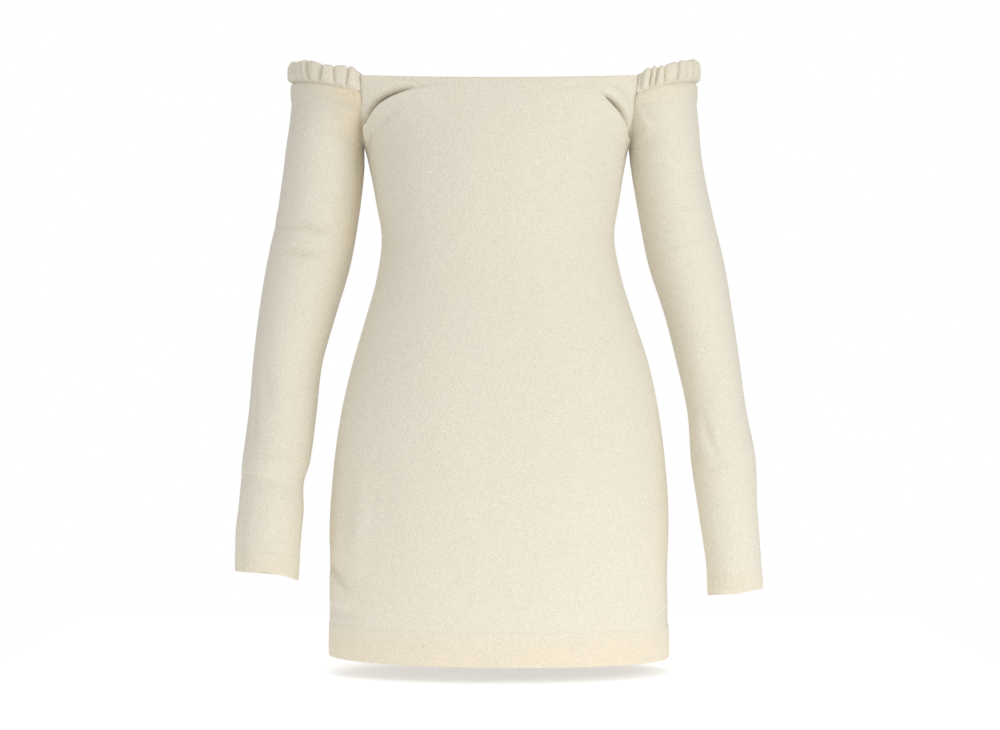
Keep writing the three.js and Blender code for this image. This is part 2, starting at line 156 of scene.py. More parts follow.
@dataclass(frozen=True)
class Crease:
    """A crease of the cloth along a bent line, or a ridge where its depths are negative.

    guides holds points of (across, height, depth) in the piece's own flat coordinates. reach is how
    wide the crease is to each side, or on the left of its line if slope is given, which is its
    width on the right: one steep side makes a fold that lies over the cloth beside it. sharp is 1
    for a sharp bottom and 2 for a soft trough. roll is the height of the roll of cloth beside it,
    as a share of its depth, on the right of the line where it is positive and on the left where it
    is negative.
    """

    guides: tuple[tuple[float, float, float], ...]
    reach: float
    sharp: float = 2.0
    roll: float = 0.0
    slope: float | None = None

    def relief(self, flat: Array, unit: float = 1.0) -> Array:
        """How far the crease moves the cloth outwards.

        Args:
            flat: The flat coordinates of each point, in millimetres.
            unit: The length that one unit of the guides' first coordinate stands for.

        Returns:
            The move of each point, in millimetres.
        """
        guides, depths = self.smooth_line(unit)
        wide = max(self.reach, self.slope or 0.0)
        margin = 6.0 * wide
        near = np.all((flat > guides.min(0) - margin) & (flat < guides.max(0) + margin), axis=1)
        points = flat[near]
        best = np.full(len(points), np.inf)
        side, depth = np.zeros(len(points)), np.zeros(len(points))
        for start, end, first, last in zip(guides, guides[1:], depths, depths[1:]):
            run = end - start
            share = np.clip(((points - start) @ run) / max(run @ run, 1e-9), 0.0, 1.0)
            away = points - start - share[:, None] * run
            distance = np.hypot(away[:, 0], away[:, 1])
            closer = distance < best
            best = np.where(closer, distance, best)
            side = np.where(closer, np.sign(away[:, 0] * run[1] - away[:, 1] * run[0]), side)
            depth = np.where(closer, first + share * (last - first), depth)
        width = np.where(side > 0, self.slope or self.reach, self.reach)
        trough = np.exp(-((best / width) ** self.sharp))
        rolled_side = side * math.copysign(1.0, self.roll) * best
        rolled = bell(rolled_side - 2.3 * width, 1.3 * width) * (rolled_side > 0)
        move = np.zeros(len(flat))
        move[near] = depth * (abs(self.roll) * rolled - trough)
        return move

    def smooth_line(self, unit: float) -> tuple[Array, Array]:
        """The guides as a finer, rounded line.

        Args:
            unit: The length that one unit of the guides' first coordinate stands for.

        Returns:
            The points of the line, and the depth at each.
        """
        guides = np.array(self.guides, float) * (unit, 1.0, 1.0)
        padded = np.vstack([2 * guides[0] - guides[1], guides, 2 * guides[-1] - guides[-2]])
        fine = [guides[0]]
        for a, b, c, d in zip(padded, padded[1:], padded[2:], padded[3:]):
            for t in np.linspace(0, 1, 7)[1:]:
                bend = 2 * b + (c - a) * t + (2 * a - 5 * b + 4 * c - d) * t**2
                fine.append((bend + (3 * (b - c) + d - a) * t**3) / 2)
        fine_line = np.array(fine)
        return fine_line[:, :2], fine_line[:, 2]


@dataclass(frozen=True)
class Swell:
    """A broad, soft bump, or a hollow where its height is negative."""

    centre: tuple[float, float]
    reach: tuple[float, float]
    height: float
    turn: float = 0.0

    def relief(self, flat: Array) -> Array:
        """How far the swell moves each point of the cloth outwards."""
        away = flat - np.array(self.centre)
        cos, sin = math.cos(math.radians(self.turn)), math.sin(math.radians(self.turn))
        along = (away[:, 0] * cos + away[:, 1] * sin) / self.reach[0]
        across = (away[:, 1] * cos - away[:, 0] * sin) / self.reach[1]
        return self.height * np.exp(-(along**2) - across**2)


def unevenness(flat: Array, height: float, seed: int) -> Array:
    """The slight lie of a cloth that isn't pressed flat, as a few long waves.

    Args:
        flat: The flat coordinates of each point, in millimetres.
        height: How far the waves go in and out, in millimetres.
        seed: Picks the waves.

    Returns:
        The move of each point, in millimetres.
    """
    dice = np.random.default_rng(seed)
    move = np.zeros(len(flat))
    for _ in range(9):
        angle, length = dice.uniform(0, math.pi), dice.uniform(45, 120)
        phase = dice.uniform(0, 2 * math.pi)
        wave = flat[:, 0] * math.cos(angle) + 0.6 * flat[:, 1] * math.sin(angle)
        move += np.sin(2 * math.pi * wave / length + phase)
    return height * move / 3.0


def seam_roll(distance: Array, depth: Array | float, width: Array | float) -> Array:
    """The cloth's turn inwards at a seam, with the slight ridge that it makes beside it."""
    return -depth * bell(distance, width) + 0.3 * depth * bell(distance - 2.6 * width, width)


@dataclass(frozen=True)
class TurnUp:
    """A turned-up edge, whose cloth stands out a little under a shallow line of stitches.

    height is how far up it goes, out how far it stands out, and step how far below and above its
    height that starts. stitch holds the depth and width of the line of stitches.
    """

    height: float
    out: float
    step: tuple[float, float]
    stitch: tuple[float, float]

    def relief(self, up: Array) -> Array:
        """How far it moves the cloth outwards at each distance up from the edge."""
        below, above = self.step
        stands = self.out * (1 - smoothstep(up, self.height - below, self.height + above))
        line = self.stitch[0] * bell(up - self.height - above, self.stitch[1])
        return stands - line - 0.4 * bell(up, 0.8)


HEM = TurnUp(36.0, 0.35, (1.5, 1.0), (0.25, 1.4))
CUFF = TurnUp(22.0, 0.25, (1.2, 0.8), (0.2, 1.2))


def armhole_roll(points: Array, distance: Array, z: Array, spread: float) -> Array:
    """How the armhole's seam draws its two cloths inwards, deepest just above the underarm.

    Both cloths move towards the dress's middle plane, so that no gap opens between them.

    Args:
        points: Points of the cloth.
        distance: Their distance from the seam.
        z: Their heights before any dip or rise.
        spread: How wide the cloth turns in at the underarm, in millimetres.

    Returns:
        The move of each point along Y, in millimetres.
    """
    low = smoothstep(-z, 30.0, 60.0)
    top, bottom = ARMHOLE_ROLL_DEPTHS
    depth = np.where(z > -ARMHOLE_DEPTH, top + (bottom - top) * low, 0.0)
    width = ARMHOLE_ROLL_WIDTH + (spread - ARMHOLE_ROLL_WIDTH) * low
    drawn = np.minimum(-seam_roll(distance, depth, width), ARMHOLE_MOST_DRAWN * np.abs(points[:, 1]))
    return -np.sign(points[:, 1]) * drawn


def clear_selection() -> None:
    """Leaves nothing selected."""
    if bpy.context.object and bpy.context.object.mode != "OBJECT":
        bpy.ops.object.mode_set(mode="OBJECT")
    bpy.ops.object.select_all(action="DESELECT")


def add_grid(name: str, columns: int, rows: int) -> tuple[bpy.types.Object, Array, Array]:
    """Adds a flat grid that is then laid on a surface.

    Args:
        name: The piece's name.
        columns: Faces across.
        rows: Faces up.

    Returns:
        The object, and the number of the column and row of each of its vertices.
    """
    clear_selection()
    bpy.ops.mesh.primitive_grid_add(x_subdivisions=columns, y_subdivisions=rows, size=2)
    piece = bpy.context.object
    piece.name = piece.data.name = name
    places = np.zeros(len(piece.data.vertices) * 3)
    piece.data.vertices.foreach_get("co", places)
    places = (places.reshape(-1, 3) + 1) / 2
    column = np.rint(places[:, 0] * columns).astype(int)
    row = np.rint(places[:, 1] * rows).astype(int)
    return piece, column, row


def lay(piece: bpy.types.Object, points: Array) -> None:
    """Puts a piece's vertices at points in millimetres."""
    piece.data.vertices.foreach_set("co", (points * MM).astype(np.float32).ravel())
    piece.data.update()


def merge_doubles(piece: bpy.types.Object, face_outwards: bool = False, close_ends: bool = False) -> None:
    """Joins vertices that lie on each other, and closes and turns the faces if asked."""
    clear_selection()
    piece.select_set(True)
    bpy.context.view_layer.objects.active = piece
    bpy.ops.object.mode_set(mode="EDIT")
    bpy.ops.mesh.select_all(action="SELECT")
    bpy.ops.mesh.remove_doubles(threshold=0.02 * MM)
    if close_ends:
        bpy.ops.mesh.select_all(action="SELECT")
        bpy.ops.mesh.fill_holes(sides=0)
    if face_outwards:
        bpy.ops.mesh.select_all(action="SELECT")
        bpy.ops.mesh.normals_make_consistent(inside=False)
    bpy.ops.object.mode_set(mode="OBJECT")


def mark(piece: bpy.types.Object, name: str, share: Array) -> None:
    """Notes a share for each point of a shell, under the name of an attribute."""
    attribute = piece.data.attributes.new(name, "FLOAT", "POINT")
    attribute.data.foreach_set("value", share.astype(np.float32))


def mark_cloth(piece: bpy.types.Object, doubled: Array, beside: Array) -> None:
    """Notes where a shell's cloth lies double, and how much painted shade darkens it.

    Args:
        piece: The shell.
        doubled: How far the cloth lies double at each point, for its thickness and its finish.
        beside: How much painted shade darkens the cloth's colour at each point, for its finish.
    """
    mark(piece, "doubled", doubled)
    # the beside attribute holds painted shade
    mark(piece, "beside", beside)


def give_thickness(piece: bpy.types.Object, thin: float, thick: float) -> None:
    """Gives a shell its thickness inwards, and shades it smooth.

    Args:
        piece: The shell.
        thin: The thickness of a single cloth, in millimetres.
        thick: The thickness of the cloth where it lies double, in millimetres.
    """
    weights = np.zeros(len(piece.data.vertices), np.float32)
    piece.data.attributes["doubled"].data.foreach_get("value", weights)
    clear_selection()
    piece.select_set(True)
    bpy.context.view_layer.objects.active = piece
    solid = piece.modifiers.new("thickness", "SOLIDIFY")
    solid.offset = -1.0
    solid.thickness = thick * MM
    solid.use_rim = True
    group = piece.vertex_groups.new(name="thick")
    levels = np.rint(weights * 8).astype(int)
    for level in range(9):
        group.add(np.flatnonzero(levels == level).tolist(), level / 8, "REPLACE")
    solid.vertex_group = group.name
    solid.thickness_vertex_group = thin / thick
    bpy.ops.object.modifier_apply(modifier=solid.name)
    piece.vertex_groups.clear()
    bpy.ops.object.shade_smooth_by_angle(angle=math.radians(55))


@dataclass(frozen=True)
class Graph:
    """Small helper that adds nodes to a material and links them."""

    tree: bpy.types.NodeTree

    def add(self, kind: str, **settings: object) -> bpy.types.Node:
        """Adds a node.

        Args:
            kind: The node's type.
            settings: Attributes of the node, or values of its inputs by name.

        Returns:
            The node.
        """
        node = self.tree.nodes.new(kind)
        for name, value in settings.items():
            if hasattr(node, name):
                setattr(node, name, value)
            else:
                node.inputs[name.replace("_", " ")].default_value = value
        return node

    def link(self, start: bpy.types.NodeSocket, end: bpy.types.NodeSocket) -> None:
        """Links an output to an input."""
        self.tree.links.new(start, end)


@dataclass(frozen=True)
class CrepeFinish:
    """Matt crepe: a pebbly crinkle over a fine weave, with a slight change of tone from place to place.

    The colours are linear. grain is the size of the pebbles in millimetres. beside's change is painted
    shade.
    """

    name: str = "ivory_crepe"
    cool: tuple[float, float, float] = (0.780, 0.740, 0.630)
    warm: tuple[float, float, float] = (0.805, 0.745, 0.615)
    grain: float = 1.9
    grain_depth: float = 0.85
    roughness: float = 0.92
    sheen: float = 0.22
    sheen_roughness: float = 0.6
    specular: float = 0.25
    doubled_change: tuple[float, float, float] = (0.018, -0.014, -0.042)
    # painted shade: the colour is darkened and browned by this much where the beside attribute is 1
    painted_shade_change: tuple[float, float, float] = (-0.045, -0.075, -0.110)

    def material(self) -> bpy.types.Material:
        """Makes the material.

        Returns:
            The material, with its colour, weave and crinkle from nodes.
        """
        material = bpy.data.materials.new(self.name)
        material.use_nodes = True
        material.node_tree.nodes.clear()
        graph = Graph(material.node_tree)
        place = graph.add("ShaderNodeTexCoord").outputs["Object"]
        shader = graph.add("ShaderNodeBsdfPrincipled", Roughness=self.roughness, Sheen_Weight=self.sheen,
                           Sheen_Roughness=self.sheen_roughness, Specular_IOR_Level=self.specular)
        output = graph.add("ShaderNodeOutputMaterial")
        graph.link(shader.outputs["BSDF"], output.inputs["Surface"])
        graph.link(self.colour(graph, place), shader.inputs["Base Color"])
        graph.link(self.relief(graph, place), shader.inputs["Normal"])
        return material

    def colour(self, graph: Graph, place: bpy.types.NodeSocket) -> bpy.types.NodeSocket:
        """The base colour.

        Args:
            graph: The material's nodes.
            place: The object coordinates.

        Returns:
            The socket that carries the colour.
        """
        patches = graph.add("ShaderNodeTexNoise", Scale=22.0, Detail=3.0, Roughness=0.6)
        graph.link(place, patches.inputs["Vector"])
        tone = graph.add("ShaderNodeMix", data_type="RGBA")
        for socket in tone.inputs:
            if socket.name == "A" and socket.type == "RGBA":
                socket.default_value = (*self.cool, 1.0)
            if socket.name == "B" and socket.type == "RGBA":
                socket.default_value = (*self.warm, 1.0)
        graph.link(patches.outputs["Fac"], tone.inputs["Factor"])
        specks = graph.add("ShaderNodeTexNoise", Scale=500.0, Detail=3.0, Roughness=0.65)
        graph.link(place, specks.inputs["Vector"])
        depth = graph.add("ShaderNodeMapRange", From_Min=0.25, From_Max=0.75, To_Min=0.905, To_Max=1.085)
        graph.link(specks.outputs["Fac"], depth.inputs["Value"])
        shade = graph.add("ShaderNodeVectorMath", operation="SCALE")
        graph.link(next(s for s in tone.outputs if s.type == "RGBA"), shade.inputs[0])
        graph.link(depth.outputs["Result"], shade.inputs["Scale"])
        colour = shade.outputs["Vector"]
        # doubled cloth is warmer; the beside attribute adds painted shade at the armpits and the skirt's
        # sides
        for name, change in (("doubled", self.doubled_change), ("beside", self.painted_shade_change)):
            share = graph.add("ShaderNodeAttribute", attribute_name=name)
            scaled = graph.add("ShaderNodeVectorMath", operation="SCALE")
            scaled.inputs[0].default_value = change
            graph.link(share.outputs["Fac"], scaled.inputs["Scale"])
            tint = graph.add("ShaderNodeVectorMath", operation="ADD")
            graph.link(colour, tint.inputs[0])
            graph.link(scaled.outputs["Vector"], tint.inputs[1])
            colour = tint.outputs["Vector"]
        return colour

    def relief(self, graph: Graph, place: bpy.types.NodeSocket) -> bpy.types.NodeSocket:
        """The crinkle and the weave as a normal.

        Args:
            graph: The material's nodes.
            place: The object coordinates.

        Returns:
            The socket that carries the normal.
        """
        size = 1.0 / (self.grain * MM)
        pebbles = graph.add("ShaderNodeTexVoronoi", feature="SMOOTH_F1", Scale=size, Smoothness=0.6)
        crinkle = graph.add("ShaderNodeTexNoise", Scale=0.8 * size, Detail=3.0, Roughness=0.62,
                            Distortion=0.4)
        weave = graph.add("ShaderNodeTexNoise", Scale=4.5 * size, Detail=2.0, Roughness=0.5)
        lie = graph.add("ShaderNodeTexNoise", Scale=60.0, Detail=2.0, Roughness=0.5)
        heights = ((lie, "Fac", 0.9, 0.30), (crinkle, "Fac", 1.0, self.grain_depth),
                   (pebbles, "Distance", 1.0, 0.5 * self.grain_depth), (weave, "Fac", 0.7, 0.05))
        normal: bpy.types.NodeSocket | None = None
        for texture, output, strength, depth in heights:
            graph.link(place, texture.inputs["Vector"])
            bump = graph.add("ShaderNodeBump", Strength=strength, Distance=depth * MM)
            graph.link(texture.outputs[output], bump.inputs["Height"])
            if normal is not None:
                graph.link(normal, bump.inputs["Normal"])
            normal = bump.outputs["Normal"]
        return normal


@dataclass(frozen=True)
class BodyForm:
    """The smooth form of the dress's body, which both panels and the armholes share.

    Each armhole is the distance from the middle to its edge, at the underarm and at the neckline.
    """

    neck_dip: float = 4.5
    neck_dip_fades_at: float = 120.0
    neck_half: float = 145.0
    hem_tilt: float = 0.008
    hem_tilt_from: float = 450.0
    left_armhole: tuple[float, float] = (145.0, 144.5)
    right_armhole: tuple[float, float] = (141.0, 146.0)
    sections: SectionTable = SectionTable(
        ("left", "right", "front", "back", "square"),
        (
            (0, 222, 222, 100, 92, 2.0),
            (-18, 193, 192, 105, 94, 2.0),
            (-37, 169, 166, 109, 95, 2.02),
            (-53, 154.5, 151, 112, 95, 2.05),
            (-69, 145, 141, 113, 94, 2.08),
            (-95, 138.4, 135.3, 111, 90, 2.12),
            (-127, 132.1, 130.1, 102, 83, 2.14),
            (-167, 125.7, 124.7, 91, 77, 2.14),
            (-212, 131.7, 132.9, 93, 83, 2.14),
            (-251, 142.5, 145.2, 98, 95, 2.14),
            (-303, 157.4, 161.9, 103, 109, 2.14),
            (-355, 169.5, 172.9, 106, 116, 2.14),
            (-407, 176.6, 179.4, 108, 116, 2.14),
            (-471, 182, 183, 110, 112, 2.14),
            (-537, 182, 181.4, 112, 108, 2.14),
            (-597, 183.1, 183.9, 113, 106, 2.14),
            (-617, 183.1, 183.7, 113, 106, 2.14),
        ),
    )

    def half(self, is_left: Array, z: Array) -> Array:
        """The distance from the middle to the body's widest place on one side."""
        return np.where(is_left, self.sections.at("left", z), self.sections.at("right", z))

    def edge(self, is_left: Array, z: Array) -> Array:
        """The distance from the middle to the side seam, or above it to the armhole.

        Args:
            is_left: Whether each point is on the viewer's left.
            z: The heights.

        Returns:
            The distance at each height.
        """
        share = np.minimum(1.0 + z / ARMHOLE_DEPTH, 1.0)
        left = self.left_armhole[0] + share * (self.left_armhole[1] - self.left_armhole[0])
        right = self.right_armhole[0] + share * (self.right_armhole[1] - self.right_armhole[0])
        return np.where(z <= -ARMHOLE_DEPTH, self.half(is_left, z), np.where(is_left, left, right))

    def point(self, face: Face, across: Array, z: Array) -> Array:
        """Points on one face of the body.

        Args:
            face: The front or the back.
            across: From -1 at the viewer's left edge to 1 at the right one.
            z: The heights.

        Returns:
            The points, one in each row.
        """
        depth = self.sections.at("front" if face is Face.FRONT else "back", z)
        power = self.sections.at("square", z)
        is_left = across < 0
        half = self.half(is_left, z)
        widest = np.arcsin(np.minimum(self.edge(is_left, z) / half, 1.0) ** (power / 2))
        x = half * signed_power(np.sin(across * widest), 2 / power)
        y = face.value * depth * signed_power(np.cos(across * widest), 2 / power)
        dip = self.neck_dip * smoothstep(z, -self.neck_dip_fades_at, 0) * (1 - (x / self.neck_half) ** 2)
        tilt = self.hem_tilt * x * smoothstep(-z, self.hem_tilt_from, DRESS_LENGTH)
        return np.column_stack([x, y, z - dip - tilt])


@dataclass
class ClothPiece:
    """What every piece of the dress has: a name, the CAD node it stands for and its cut."""

    name: str
    node: str
    flat: tuple[float, float]
    area: float | None
    held: str
    rests_on: tuple[str, ...]

    def shell(self) -> bpy.types.Object:
        """Models the mesh, which each kind of piece does in its own way."""
        raise NotImplementedError

    def build(self, material: bpy.types.Material) -> None:
        """Models the piece, and gives it its finish and its place in the dress.

        Args:
            material: Its finish.
        """
        piece = self.shell()
        piece.data.materials.clear()
        piece.data.materials.append(material)
        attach(piece, "root")
        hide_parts(self.node)
        LOG.info("%s: %d faces", piece.name, len(piece.data.polygons))


@dataclass
class BodyPanel(ClothPiece):
    """The front or back panel, from the neckline to the hem.

    neck_edge holds the height, the distance below the neckline and the width of its turned edge,
    of its stitches and of the ridge between them. The side numbers say how strongly and where painted
    shade darkens the skirt beside the side seams, where its surface turns away from the light: its
    share across, and the depths below the neckline where the painted shade comes and goes.
    """

    face: Face
    body: BodyForm
    columns: Array
    rows: Array
    creases: tuple[Crease, ...]
    swells: tuple[Swell, ...]
    seed: int
    unevenness: float = 0.34
    armhole_spread: float = 2.6
    neck_doubled: float = 0.4
    neck_edge: tuple[tuple[float, float, float], ...] = (
        (-0.9, 0.0, 0.9), (-0.3, 4.2, 0.8), (0.2, 2.2, 1.2))
    # painted shade on the skirt's sides: its strength, its share across and the depths where it comes and
    # goes
    side_painted_shade: float = 0.9
    side_across: tuple[float, float] = (0.72, 0.97)
    side_starts: tuple[float, float] = (330.0, 430.0)
    side_ends: tuple[float, float] = (545.0, 570.0)

    def shell(self) -> bpy.types.Object:
        """Models the mesh of the panel.

        Returns:
            The mesh.
        """
        piece, column, row = add_grid(self.name, len(self.columns) - 1, len(self.rows) - 1)
        across, z = -self.face.value * self.columns[column], self.rows[row]
        level = np.clip(z, 1 - DRESS_LENGTH, -1.0)
        inside = np.clip(across, -0.999, 0.999)
        normal, stretch = outward(lambda a, h: self.body.point(self.face, a, h), inside, level, 0.001, 0.5)
        normal *= -self.face.value
        points = self.body.point(self.face, across, z)
        points[:, 0] *= 1 - SEAM_GAP / 2 / self.body.neck_half
        points[:, 1] += self.face.value * SEAM_GAP / 2
        points += normal * self.relief(points, across, z, stretch)[:, None]
        points[:, 1] += armhole_roll(points, (1 - np.abs(across)) * stretch, z, self.armhole_spread)
        lay(piece, points)
        hem_line = DRESS_LENGTH - HEM.height
        turned = self.neck_doubled * smoothstep(z, -5.0, -3.0)
        doubled = np.maximum(smoothstep(-z, hem_line - 3.0, hem_line + 15.0), turned)
        # painted shade: darkens the skirt's sides, where the surface turns away, through the beside
        # attribute
        at_side = smoothstep(np.abs(across), *self.side_across) * smoothstep(-z, *self.side_starts)
        mark_cloth(piece, doubled, self.side_painted_shade * at_side * (1 - smoothstep(-z, *self.side_ends)))
        give_thickness(piece, SHELL, DOUBLED_SHELL)
        return piece

    def relief(self, points: Array, across: Array, z: Array, stretch: Array) -> Array:
        """How far the panel's cloth stands out from the smooth form.

        Args:
            points: The points of the smooth form.
            across: Their share across the panel.
            z: Their heights before the neckline's dip.
            stretch: The width of cloth for one unit of across.

        Returns:
            The move of each point, in millimetres.
        """
        flat = points[:, [0, 2]]
        to_side = (1 - np.abs(across)) * stretch
        inside = smoothstep(to_side, 0.0, 6.0)
        move = sum(crease.relief(flat) for crease in self.creases) * smoothstep(to_side, 0.0, 3.0)
        move = move + inside * sum(swell.relief(flat) for swell in self.swells)
        girth = np.column_stack([across * stretch, z])
        move += inside * smoothstep(-z, 0, 60) * unevenness(girth, self.unevenness, self.seed)
        move += seam_roll(to_side, 0.5 * (z <= -ARMHOLE_DEPTH), 1.1)
        move += sum(out * bell(-z - below, width) for out, below, width in self.neck_edge)
        return move + HEM.relief(z + DRESS_LENGTH)


@dataclass(frozen=True)
class Droop:
    """A place where a cuff's edge hangs lower, or higher if drop is negative.

    around is its share round the sleeve, spread is its reach in the same measure, and drop is in
    millimetres.
    """

    around: float
    spread: float
    drop: float

    def at(self, around: Array) -> Array:
        """How much lower the edge hangs at each share round the sleeve."""
        away = np.abs(around - self.around)
        return self.drop * bell(np.minimum(away, 1 - away), self.spread)


@dataclass(frozen=True)
class SleeveForm:
    """The smooth form of one sleeve.

    head_corner is how far below the neckline the top edge meets the armhole, and head_rise is how
    far that edge climbs to the outside of the arm.
    """

    side: Side
    sections: SectionTable
    head_corner: float
    head_rise: float
    body: BodyForm
    cuff_tilt_from: float = 250.0
    cuff_tilt_side: float = 0.13
    cuff_tilt_front: float = 0.1

    @property
    def cuff(self) -> float:
        """The height of the sleeve's lower edge."""
        return self.sections.rows[-1][0]

    def point(self, around: Array, z: Array) -> Array:
        """Points on the outside of the sleeve.

        Args:
            around: From 0 at the front seam over the outside of the arm to 1 at the back seam.
            z: The heights.

        Returns:
            The points, one in each row.
        """
        is_left = np.full(len(z), self.side is Side.LEFT)
        behind = around > 0.5
        facing = np.where(behind, 1.0, -1.0)
        outer, depth = self.sections.at("outer", z), self.sections.at("depth", z)
        middle = self.sections.at("middle", z)
        in_armhole = z > -ARMHOLE_DEPTH
        inner = np.where(in_armhole, self.body.edge(is_left, z), self.sections.at("inner", z))
        inner = inner + SEAM_GAP / 2
        end = np.full(len(z), float(self.side.value))
        front_seam = self.body.point(Face.FRONT, end, z)[:, 1]
        back_seam = self.body.point(Face.BACK, end, z)[:, 1]
        seam = np.where(in_armhole, np.where(behind, back_seam, front_seam), middle)
        cut = np.sqrt(np.maximum(1 - ((seam - middle) / depth) ** 2, 0.0))
        half = (outer - inner) / (1 + cut)
        angle = (math.pi - np.arccos(cut)) * (1 - 2 * np.minimum(around, 1 - around))
        x = outer - half * (1 - np.cos(angle))
        y = middle + facing * depth * np.sin(angle)
        head = np.maximum(z + ARMHOLE_DEPTH, 0.0) / (ARMHOLE_DEPTH - self.head_corner)
        rise = self.head_rise * head * (x - inner) / (outer - inner)
        tilt = smoothstep(-z, self.cuff_tilt_from, DRESS_LENGTH)
        slope = self.cuff_tilt_side * (x - (inner + outer) / 2) - self.cuff_tilt_front * (y - middle)
        rise += tilt * slope
        return np.column_stack([self.side.value * x, y, z + rise])

    def normals(self, around: Array, z: Array) -> tuple[Array, Array]:
        """The outward directions of the smooth form, and the length of cloth for the whole girth."""
        level = np.clip(z, self.cuff + 1, -self.head_corner - 1)
        inside = np.clip(around, 0.004, 0.996)
        normal, stretch = outward(self.point, inside, level, 0.003, 0.6)
        normal *= self.side.value
        at_seam = (z <= -ARMHOLE_DEPTH) & (inside != around)
        normal[at_seam] = (-self.side.value, 0.0, 0.0)
        return normal, stretch


@dataclass
class Sleeve(ClothPiece):
    """One long sleeve, from the cuff up to the seam of the gathered band.

    The creases' guides are shares round the sleeve, whose girth is the length that they stand for.
    inner_painted_shade is how strongly painted shade darkens its inner side towards the armpit, and strip
    the height of the doubled cloth under the band.
    """

    form: SleeveForm
    creases: tuple[Crease, ...]
    swells: tuple[Swell, ...]
    droops: tuple[Droop, ...]
    seed: int
    # painted shade on the inner side of the upper sleeve, by the armpit
    inner_painted_shade: float = 1.0
    inner_around: tuple[float, float] = (0.04, 0.21)
    girth: float = 220.0
    strip: float = 13.0
    strip_doubled: float = 0.55
    cuff_doubled: float = 0.6
    unevenness: float = 0.4
    armhole_spread: float = 8.0

    def shell(self) -> bpy.types.Object:
        """Models the mesh of the sleeve.

        Returns:
            The mesh.
        """
        form = self.form
        columns = spaced((0.0, 1.0, 124))
        hem_line = form.cuff + CUFF.height
        rows = spaced(
            (form.cuff, hem_line - 3, 10), (hem_line - 3, hem_line + 3, 7), (hem_line + 3, -200.0, 92),
            (-200.0, -120.0, 44), (-120.0, -ARMHOLE_DEPTH, 16), (-ARMHOLE_DEPTH, -40.0, 18),
            (-40.0, -form.head_corner, 18),
        )
        piece, column, row = add_grid(self.name, len(columns) - 1, len(rows) - 1)
        around, z = columns[column], rows[row]
        if form.side is Side.LEFT:
            around = 1 - around
        normal, stretch = form.normals(around, z)
        points = form.point(around, z) + normal * self.relief(around, z, stretch)[:, None]
        to_seam = np.minimum(around, 1 - around) * stretch
        points[:, 1] += armhole_roll(points, to_seam, z, self.armhole_spread)
        drop = sum(droop.at(around) for droop in self.droops)
        points[:, 2] -= drop * (1 - smoothstep(z, form.cuff, form.cuff + 40.0))
        lay(piece, points)
        strip = self.strip_doubled * smoothstep(z, -form.head_corner - 14.0, -form.head_corner - 9.0)
        cuff = self.cuff_doubled * (1 - smoothstep(z, hem_line - 9.0, hem_line + 3.0))
        # painted shade: darkens the inner side of the upper sleeve, by the armpit, through the beside
        # attribute
        inner = 1 - smoothstep(np.minimum(around, 1 - around), *self.inner_around)
        mark_cloth(piece, np.maximum(cuff, strip), self.inner_painted_shade * inner * smoothstep(z, -330.0, -120.0))
        merge_doubles(piece)
        give_thickness(piece, SHELL, DOUBLED_SHELL)
        return piece

    def relief(self, around: Array, z: Array, stretch: Array) -> Array:
        """How far the sleeve's cloth stands out from the smooth form.

        Args:
            around: The share round the sleeve.
            z: The heights before the head's rise and the cuff's tilt.
            stretch: The length of cloth for the whole girth.

        Returns:
            The move of each point, in millimetres.
        """
        form = self.form
        flat = np.column_stack([around * self.girth, z])
        to_seam = np.minimum(around, 1 - around) * stretch
        calm = smoothstep(to_seam, 0.0, 5.0)
        move = sum(crease.relief(flat, self.girth) for crease in self.creases) * calm
        move = move + calm * sum(swell.relief(flat) for swell in self.swells)
        move += calm * smoothstep(-z, 30, 60) * unevenness(flat, self.unevenness, self.seed)
        move += seam_roll(to_seam, 0.35 * (z <= -ARMHOLE_DEPTH), 1.1)
        to_band = -form.head_corner - z
        on_strip = 1 - smoothstep(to_band, self.strip - 1.5, self.strip + 4.0)
        move += 1.2 * on_strip - 2.8 * bell(to_band, 1.3) - 0.3 * bell(to_band - self.strip - 3.0, 2.5)
        return move + CUFF.relief(z - form.cuff)


@dataclass(frozen=True)
class Gather:
    """One crease between two puffs of a gathered band.

    along is its distance from the front end and lean is how much further along its top is than its
    bottom, in millimetres. depth is the share of the band's thickness that it goes in. tuck is
    positive where the cloth before it is drawn under the cloth after it.
    """

    along: float
    lean: float
    depth: float
    tuck: float = 0.0


